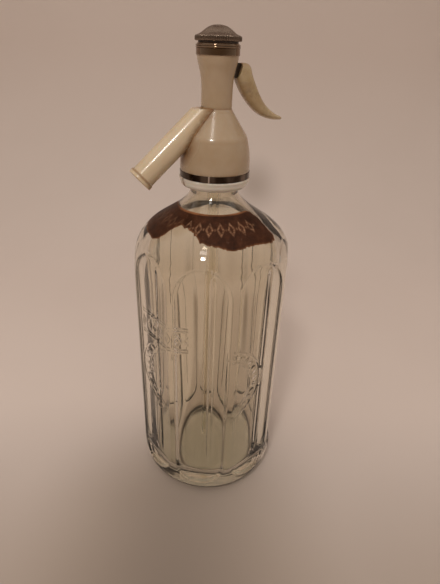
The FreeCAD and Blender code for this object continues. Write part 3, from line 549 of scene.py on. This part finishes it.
# -------------------------------------------------------------- fired label
def fired_label():
    top = [(-113.0, 203.5), (-108.0, 206.6), (-99.0, 208.2), (-86.0, 208.6), (-60.0, 208.5), (-40.0, 208.5),
           (-21.0, 208.45), (0.0, 208.35), (17.0, 208.35), (34.0, 208.4), (50.0, 208.4), (58.0, 208.2),
           (64.0, 207.2), (68.0, 204.6), (65.5, 201.5), (63.2, 198.5), (63.6, 195.8), (60.5, 193.9)]
    low = [(54.7, 193.4), (48.0, 194.1), (42.9, 194.4), (37.0, 194.9), (31.0, 195.0), (25.5, 194.5), (21.5, 194.2),
           (16.0, 194.0), (11.8, 194.2), (9.6, 195.0), (7.3, 195.2), (4.6, 195.9), (1.9, 195.7), (-1.0, 196.5),
           (-4.4, 196.2), (-7.2, 197.1), (-10.5, 196.8), (-12.2, 198.2), (-14.6, 199.2), (-16.8, 199.5),
           (-18.8, 200.6), (-23.5, 201.0), (-27.5, 202.1), (-31.4, 201.6), (-35.0, 202.6), (-38.1, 202.2),
           (-41.9, 200.9), (-44.5, 199.2), (-46.2, 197.2), (-49.0, 195.2), (-53.0, 193.9), (-57.4, 193.4),
           (-64.0, 193.9), (-71.5, 194.2), (-79.0, 194.1), (-86.6, 194.6), (-95.6, 195.6), (-103.0, 197.0),
           (-110.0, 199.8)]
    rng = np.random.default_rng(7)
    poly = []
    loop = top + low
    for i in range(len(loop)):
        a, b = np.array(loop[i]), np.array(loop[(i + 1) % len(loop)])
        n = max(2, int(abs(b[0] - a[0]) / 1.1) + int(abs(b[1] - a[1]) / 0.8))
        rough = 0.0 if i < 13 else 0.22
        for j in range(n):
            p = a + (b - a) * j / n
            poly.append(p + rng.normal(0, 1, 2) * rough * np.array([1.2, 1.0]) * (1 if j else 0.3))
    poly = np.array(poly)
    zc, scale = 201.0, 0.55            # about mm per degree along the arc
    Pm = poly * np.array([scale, 1.0])
    A, B = Pm, np.roll(Pm, -1, axis=0)

    def inside(q):
        x, y = q
        hit = (A[:, 1] > y) != (B[:, 1] > y)
        xs = A[:, 0] + (y - A[:, 1]) / (B[:, 1] - A[:, 1] + 1e-12) * (B[:, 0] - A[:, 0])
        return np.count_nonzero(hit & (x < xs)) % 2 == 1

    def nearest(q):
        d = B - A
        t = np.clip(((q - A) * d).sum(1) / ((d * d).sum(1) + 1e-12), 0, 1)
        c = A + d * t[:, None]
        dist = np.hypot(*(c - q).T)
        i = dist.argmin()
        return c[i], dist[i]

    step_t, step_z = 0.55, 0.30
    ths = np.arange(-116, 72, step_t)
    zs = np.arange(192.5, 209.5, step_z)
    keep = {}
    faces = []
    for i in range(len(ths) - 1):
        for j in range(len(zs) - 1):
            c = np.array([(ths[i] + step_t / 2) * scale, zs[j] + step_z / 2])
            if inside(c):
                quad = [(i, j), (i + 1, j), (i + 1, j + 1), (i, j + 1)]
                for q in quad:
                    keep.setdefault(q, len(keep))
                faces.append([keep[q] for q in quad])
    count = {}
    for f in faces:
        for a, b in zip(f, f[1:] + f[:1]):
            e = (min(a, b), max(a, b))
            count[e] = count.get(e, 0) + 1
    rim = set(v for e, n in count.items() if n == 1 for v in e)
    verts, edge = [], []
    for (i, j), v in keep.items():
        q = np.array([ths[i] * scale, zs[j]])
        c, dist = nearest(q)
        if v in rim and dist < 0.5:
            q, dist = c, 0.0
        th = math.radians(q[0] / scale) + TURN
        slope = (outer_radius(q[1] + 0.3) - outer_radius(q[1] - 0.3)) / 0.6
        n = np.array([1.0, -slope]) / math.hypot(1.0, slope)
        r, z = outer_radius(q[1]) + n[0] * 0.075, q[1] + n[1] * 0.075
        verts.append((r * math.sin(th), -r * math.cos(th), z))
        edge.append((q[0] / scale, q[1], dist))
    o = link_mesh("fired_label", verts, faces, M["label"])
    me = o.data
    edge = np.array(edge)
    deg, zz, dist = edge.T
    # generic marks: open lozenges and dots between two thin lines
    mark = np.zeros(len(deg))
    base_z = 202.3
    mm = (deg - 8.0) * 0.47
    pitch = 5.6
    du = (mm / pitch + 0.5) % 1.0 - 0.5
    a = np.abs(du) * pitch / 2.0 + np.abs(zz - base_z) / 2.8
    ring = np.clip(1 - ((a - 0.76) / 0.34) ** 2, 0, 1)
    dot = np.clip(1 - np.hypot((np.abs(du) - 0.5) * pitch / 0.55, (zz - base_z) / 0.6) ** 2, 0, 1)
    mark = np.maximum(ring, dot * 1.0)
    mark *= (0.35 * smooth_step(-92, -84, deg) + 0.65 * smooth_step(-40, -24, deg)) * (1 - smooth_step(50, 54, deg))
    wearing = 0.65 + 0.35 * np.sin(deg * 0.9 + zz * 1.7) * np.sin(deg * 0.23 - zz)
    mark *= wearing
    upper = (1 - smooth_step(0.45, 0.95, 208.45 - zz)) * smooth_step(-70, -55, deg) * (1 - smooth_step(60, 66, deg))
    line = np.maximum(upper, (1 - smooth_step(0.1, 0.75, dist)) * 0.55)
    for key, arr in (("mark", mark), ("line", line), ("edge", np.clip(dist / 2.0, 0, 1))):
        at = me.attributes.new(key, "FLOAT", "POINT")
        at.data.foreach_set("value", arr.astype(np.float32))
    s = o.modifiers.new("thickness", "SOLIDIFY")
    s.thickness = 0.00005
    s.offset = -1.0
    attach(o, "siphon")
    return o


def label_material():
    t = Tree("fired_enamel")
    n1 = t.noise(150.0, 5, 0.65)
    n2 = t.noise(900.0, 4, 0.6)
    col = t.ramp(n1, [(0.30, (0.028, 0.009, 0.0035)), (0.58, (0.066, 0.022, 0.009)), (0.80, (0.125, 0.046, 0.021))])
    rust = t.mix(t.span(n2, 0.35, 0.65), (0.30, 0.145, 0.075), (0.46, 0.25, 0.145))
    col = t.mix(t.math("MULTIPLY", t.attribute("mark"), t.span(n2, 0.30, 0.62, 0.35, 0.95)), col, rust)
    col = t.mix(t.math("MULTIPLY", t.attribute("line"), t.span(n1, 0.30, 0.60, 0.35, 1.0)), col, (0.36, 0.15, 0.065))
    scuff = t.span(t.noise(520.0, 5, 0.7, t.stretched(1.0, 1.0, 0.5)), 0.60, 0.72, 0.0, 0.55)
    col = t.mix(scuff, col, (0.16, 0.085, 0.055))
    t.set(Base_Color=col, Roughness=t.span(n2, 0.3, 0.7, 0.34, 0.60), Specular_IOR_Level=0.12,
          Normal=t.bump(t.math("MULTIPLY_ADD", n2, 0.5, n1), 0.5, 0.00012))
    return t.mat


M["label"] = label_material()
label = fired_label()


# -------------------------------------------------------------- screw cap
def knurled_cap():
    """Dome with ribs that die out towards the crown, 80 teeth on the rim."""
    teeth, per = 80, 8
    k = teeth * per
    th = np.linspace(0, 2 * np.pi, k, endpoint=False)
    wave = 0.5 - 0.5 * np.cos(th * teeth)          # 0 in a groove, 1 on a tooth
    wave = wave ** 0.7
    prof = [  # radius, height, groove depth
        (0.05, 297.3, 0), (4.3, 297.3, 0), (4.35, 297.2, 0), (4.35, 291.05, 0), (4.4, 291.0, 0), (6.2, 291.0, 0), (6.52, 291.3, 0),
        (6.52, 295.85, 0), (6.56, 295.9, 0), (11.3, 295.9, 0), (11.9, 295.92, 0.06), (12.25, 296.06, 0.22),
        (12.42, 296.3, 0.34), (12.49, 296.6, 0.38), (12.49, 297.2, 0.38), (12.49, 297.7, 0.38),
        (12.44, 298.05, 0.34), (12.25, 298.35, 0.25), (11.95, 298.52, 0.17), (11.6, 298.66, 0.14),
        (11.0, 298.86, 0.13), (10.4, 299.10, 0.13), (9.8, 299.38, 0.12), (9.2, 299.72, 0.12), (8.6, 300.13, 0.11),
        (8.0, 300.58, 0.11), (7.4, 301.03, 0.10), (6.8, 301.46, 0.10), (6.2, 301.86, 0.09), (5.6, 302.21, 0.08),
        (5.0, 302.50, 0.07), (4.4, 302.75, 0.06), (3.8, 302.96, 0.045), (3.2, 303.12, 0.03), (2.6, 303.26, 0.015),
        (2.0, 303.36, 0.005), (1.4, 303.43, 0), (0.8, 303.47, 0), (0.3, 303.49, 0), (0.05, 303.495, 0)]
    rings = []
    for i, (r, z, g) in enumerate(prof):
        cut = g * (1 - wave)
        steep = 1.0 if i < 19 else 0.35
        rings.append(np.stack([(r - cut * steep) * np.cos(th), (r - cut * steep) * np.sin(th),
                               z - (0 if i < 19 else 1) * cut * 0.9], -1))
    o = rings_to_mesh("knurled_cap", rings, M["cap"])
    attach(o, "siphon")
    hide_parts("top_cap")
    return o


knurled_cap()


# -------------------------------------------------------------- lever grip
def lever_grip():
    """Grip lofted along its back and belly, with rounded flanks and tip."""
    px, pz = 7.4, 281.8
    back = [(6.05, 4.3), (9.4, 4.35), (11.8, 2.9), (13.15, -0.7), (14.4, -3.4), (15.9, -6.3), (18.0, -10.1),
            (20.7, -14.1), (23.8, -17.5), (27.4, -20.3), (31.2, -22.3), (34.3, -23.5), (35.5, -24.6)]
    belly = [(3.45, -3.2), (3.95, -4.3), (5.2, -6.9), (6.9, -9.9), (8.9, -12.6), (10.9, -15.0), (13.4, -17.6),
             (16.6, -20.4), (20.4, -22.7), (24.8, -24.4), (29.4, -25.35), (34.0, -25.5), (35.5, -24.6)]

    def spline(points, s):
        p = np.array(points, float)
        # Catmull-Rom through the points, then sampled evenly
        q = np.vstack([2 * p[0] - p[1], p, 2 * p[-1] - p[-2]])
        out = []
        for i in range(1, len(q) - 2):
            for t in np.linspace(0, 1, 16, endpoint=False):
                a, b, c, d = q[i - 1], q[i], q[i + 1], q[i + 2]
                out.append(0.5 * ((2 * b) + (-a + c) * t + (2 * a - 5 * b + 4 * c - d) * t * t
                                  + (-a + 3 * b - 3 * c + d) * t ** 3))
        out.append(p[-1])
        out = np.array(out)
        L = np.r_[0, np.cumsum(np.hypot(*np.diff(out, axis=0).T))]
        L /= L[-1]
        return np.stack([np.interp(s, L, out[:, 0]), np.interp(s, L, out[:, 1])], -1)

    m = 90
    s = 1 - (1 - np.linspace(0, 1, m)) ** 1.0
    s = np.concatenate([np.linspace(0, 0.9, m - 24, endpoint=False), 0.9 + 0.1 * np.sin(np.linspace(0, np.pi / 2, 24))])
    # the corner of the back near the end face is squarer than a spline gives
    T, B = spline(back, s), spline(belly, s)
    k = 56
    ph = np.linspace(0, 2 * np.pi, k, endpoint=False)
    rings = []
    for i, si in enumerate(s):
        c = (T[i] + B[i]) / 2
        h = (T[i] - B[i]) / 2
        w = 4.9 - 0.45 * si
        if si > 0.80:
            w *= math.sqrt(max(0.0, 1 - ((si - 0.80) / 0.205) ** 2)) * 0.985 + 0.015
        n = 2.7 - 0.5 * si
        ca, sa = np.cos(ph), np.sin(ph)
        x = np.sign(ca) * np.abs(ca) ** (2 / n)
        y = np.sign(sa) * np.abs(sa) ** (2 / n)
        rings.append(np.stack([px + c[0] + h[0] * x, y * w, pz + c[1] + h[1] * x], -1))
    mid = rings[0].mean(0)
    away = (rings[1].mean(0) - mid)
    away /= np.linalg.norm(away)
    first = [mid + (rings[0] - mid) * q + away * a for q, a in ((0.06, 0.62), (0.5, 0.62), (0.80, 0.62), (0.86, 0.56), (0.905, 0.36), (0.955, 0.22), (0.985, 0.12))]
    o = rings_to_mesh("lever_grip", first + rings[1:], M["grip"])
    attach(o, "lever")
    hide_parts("lever_handle")
    return o


lever_grip()


# ------------------------------------------------- cement bead at the saddle
def bell_radius(z):
    return float(np.interp(z, [b[0] for b in BELL], [b[1] for b in BELL]))


def saddle_bead():
    e1 = np.array([0.0, 1.0, 0.0])
    d = np.array(AXIS)
    e2 = np.cross(d, e1)
    path = []
    n = 120
    for a in np.linspace(0, 2 * np.pi, n, endpoint=False):
        off = (SPOUT_R + 0.02) * (np.cos(a) * e1 + np.sin(a) * e2)
        lo, hi = 2.0, 45.0
        for _ in range(50):
            mid = (lo + hi) / 2
            p = np.array([0, 0, SPOUT_Z]) + d * mid + off
            if math.hypot(p[0], p[1]) < bell_radius(p[2]) + 0.02:
                lo = mid
            else:
                hi = mid
        p = np.array([0, 0, SPOUT_Z]) + d * hi + off
        if p[2] > 263.4:
            # along the ledge the joint follows the foot of the column
            p = np.array([8.72 * p[0] / math.hypot(p[0], p[1]), 8.72 * p[1] / math.hypot(p[0], p[1]), 263.4])
        path.append(p)
    path = np.array(path)
    rng = np.random.default_rng(3)
    swell = np.convolve(np.tile(rng.uniform(0.75, 1.3, n), 3), np.ones(7) / 7, "same")[n:2 * n]
    rings = []
    k = 14
    ph = np.linspace(0, 2 * np.pi, k, endpoint=False)
    for i in range(n):
        t = path[(i + 1) % n] - path[i - 1]
        t /= np.linalg.norm(t)
        out = path[i] - (np.array([0, 0, SPOUT_Z]) + d * np.dot(path[i] - np.array([0, 0, SPOUT_Z]), d))
        out /= np.linalg.norm(out)
        side = np.cross(t, out)
        r = 0.50 * swell[i]
        rings.append(path[i] + r * (np.cos(ph)[:, None] * out + np.sin(ph)[:, None] * side))
    o = rings_to_mesh("saddle_cement", rings, M["cement"], closed=True)
    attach(o, "siphon")
    return o


def cement_material():
    t = Tree("aged_cement")
    n = t.noise(330.0, 5, 0.65)
    col = t.ramp(n, [(0.30, (0.13, 0.055, 0.018)), (0.50, (0.27, 0.135, 0.050)), (0.72, (0.42, 0.26, 0.12))])
    t.set(Base_Color=col, Roughness=t.span(n, 0.3, 0.7, 0.28, 0.55),
          Normal=t.bump(t.noise(900.0, 4, 0.6), 0.4, 0.00012))
    return t.mat


M["cement"] = cement_material()
saddle_bead()


# ------------------------------------------------------------ stage, lights
def stage():
    t = Tree("studio_paper")
    x, y, z = t.xyz()
    paper = t.mix(t.span(t.noise(3.0, 3, 0.5), 0.3, 0.7), (0.79, 0.690, 0.635), (0.82, 0.720, 0.665))
    # painted shade: the floor is darkened towards the camera, more in a band in front of the object, fading out far in
    # front
    away = t.span(y, -0.60, -0.28, 0.0, 1.0)
    front = t.math("MULTIPLY", t.span(y, 0.06, -0.16, 0.0, 0.42), away)
    band = t.math("MULTIPLY", t.span(t.math("ABSOLUTE", t.math("ADD", x, 0.02)), 0.0, 0.125, 0.42, 0.0),
                  t.math("MULTIPLY", t.span(y, 0.05, -0.06, 0.0, 1.0), away))
    keep = t.math("MULTIPLY", t.math("SUBTRACT", 1.0, front), t.math("SUBTRACT", 1.0, band))
    # painted shadows: a soft dark blob where the head's shadow falls on the sweep, and one on the floor behind the
    # bottle, seen through its glass
    for at, size, deep in (((0.070, 0.490, 0.090), (0.050, 0.075, 0.055), 0.30),
                           ((0.004, 0.215, 0.0), (0.036, 0.130, 0.1), 0.50)):
        d = t.vmath("DIVIDE", t.vmath("SUBTRACT", t.coord(), at), size)
        shade = t.span(t.vmath("LENGTH", d, out=1), 0.0, 1.15, deep, 0.0)
        keep = t.math("MULTIPLY", keep, t.math("SUBTRACT", 1.0, shade))
    # painted light: distance from the axis on the floor, for a glow in a disc beneath the bottle's foot that stands in
    # for light passed through the glass
    flat = t.node("ShaderNodeCombineXYZ")
    t.link(x, flat.inputs[0])
    t.link(y, flat.inputs[1])
    painted_glow_dist = t.vmath("LENGTH", flat.outputs[0], out=1)
    # painted shade: the paper is multiplied down by the painted shade factor and turned warmer where it is darkened
    paper = t.mix(keep, (0.0, 0.0, 0.0), paper)
    t.set(Base_Color=t.mix(t.span(keep, 0.35, 0.95, 0.35, 0.0), paper, t.mix(1.0, paper, (1.0, 0.80, 0.55), "MULTIPLY")),
          Roughness=0.85, Specular_IOR_Level=0.2,
          Emission_Color=(1.0, 0.86, 0.68), Emission_Strength=t.span(painted_glow_dist, 0.034, 0.0415, 0.16, 0.0))
    # one sheet: floor, a wide sweep, and the wall behind
    prof = [(-2.2, 0.0)] + [(-1.5 + 0.1 * i, 0.0) for i in range(18)]
    R, y0 = 0.30, 0.28
    for i in range(25):
        a = math.pi / 2 * i / 24
        prof.append((y0 + R * math.sin(a), R - R * math.cos(a)))
    prof += [(y0 + R, 0.6), (y0 + R, 1.6)]
    xs = np.linspace(-2.0, 2.0, 21)
    verts = [(x * 1000, y * 1000, z * 1000) for y, z in prof for x in xs]
    faces = []
    n = len(xs)
    for i in range(len(prof) - 1):
        for j in range(n - 1):
            faces.append([i * n + j, i * n + j + 1, (i + 1) * n + j + 1, (i + 1) * n + j])
    o = link_mesh("studio_sweep", verts, faces, t.mat)
    o.matrix_world = TURNED
    w = bpy.data.worlds.new("studio")
    scene.world = w
    w.use_nodes = True
    nt = w.node_tree
    bg = nt.nodes["Background"]
    # soft light from above and behind, a dim room in front
    co = nt.nodes.new("ShaderNodeTexCoord")
    dot = nt.nodes.new("ShaderNodeVectorMath")
    dot.operation = "DOT_PRODUCT"
    back = TURNED @ Vector((0.0, 0.55, 0.0))
    dot.inputs[1].default_value = (back.x, back.y, 0.75)
    nt.links.new(co.outputs["Generated"], dot.inputs[0])
    half = nt.nodes.new("ShaderNodeMath")
    half.operation = "MULTIPLY_ADD"
    half.inputs[1].default_value = 0.5
    half.inputs[2].default_value = 0.5
    nt.links.new(dot.outputs["Value"], half.inputs[0])
    ramp = nt.nodes.new("ShaderNodeValToRGB")
    el = ramp.color_ramp.elements
    el[0].position, el[0].color = 0.22, (0.170, 0.118, 0.076, 1)
    el[1].position, el[1].color = 0.90, (1.0, 0.90, 0.81, 1)
    mid = el.new(0.52)
    mid.color = (0.33, 0.282, 0.245, 1)
    nt.links.new(half.outputs[0], ramp.inputs[0])
    # seen directly, the room is an even pale tone
    path = nt.nodes.new("ShaderNodeLightPath")
    mixer = nt.nodes.new("ShaderNodeMix")
    mixer.data_type = "RGBA"
    nt.links.new(path.outputs["Is Camera Ray"], mixer.inputs[0])
    nt.links.new(ramp.outputs[0], mixer.inputs[6])
    mixer.inputs[7].default_value = (0.46, 0.36, 0.30, 1)
    nt.links.new(mixer.outputs[2], bg.inputs[0])
    bg.inputs[1].default_value = 0.915

    def area(name, at, look, size, energy, colour):
        l = bpy.data.lights.new(name, "AREA")
        l.energy, l.size, l.color = energy, size, colour
        o = bpy.data.objects.new(name, l)
        scene.collection.objects.link(o)
        at, look = TURNED @ Vector(at), Vector(look)
        o.location = at
        o.rotation_euler = (look - at).to_track_quat("-Z", "Y").to_euler()

    area("key", (-0.22, -0.76, 0.98), (0, 0, 0.15), 0.13, 3.2, (1.0, 0.93, 0.85))
    area("upper", (-0.19, -0.50, 1.10), (0, 0, 0.24), 0.15, 0.42, (1.0, 0.95, 0.90))


stage()
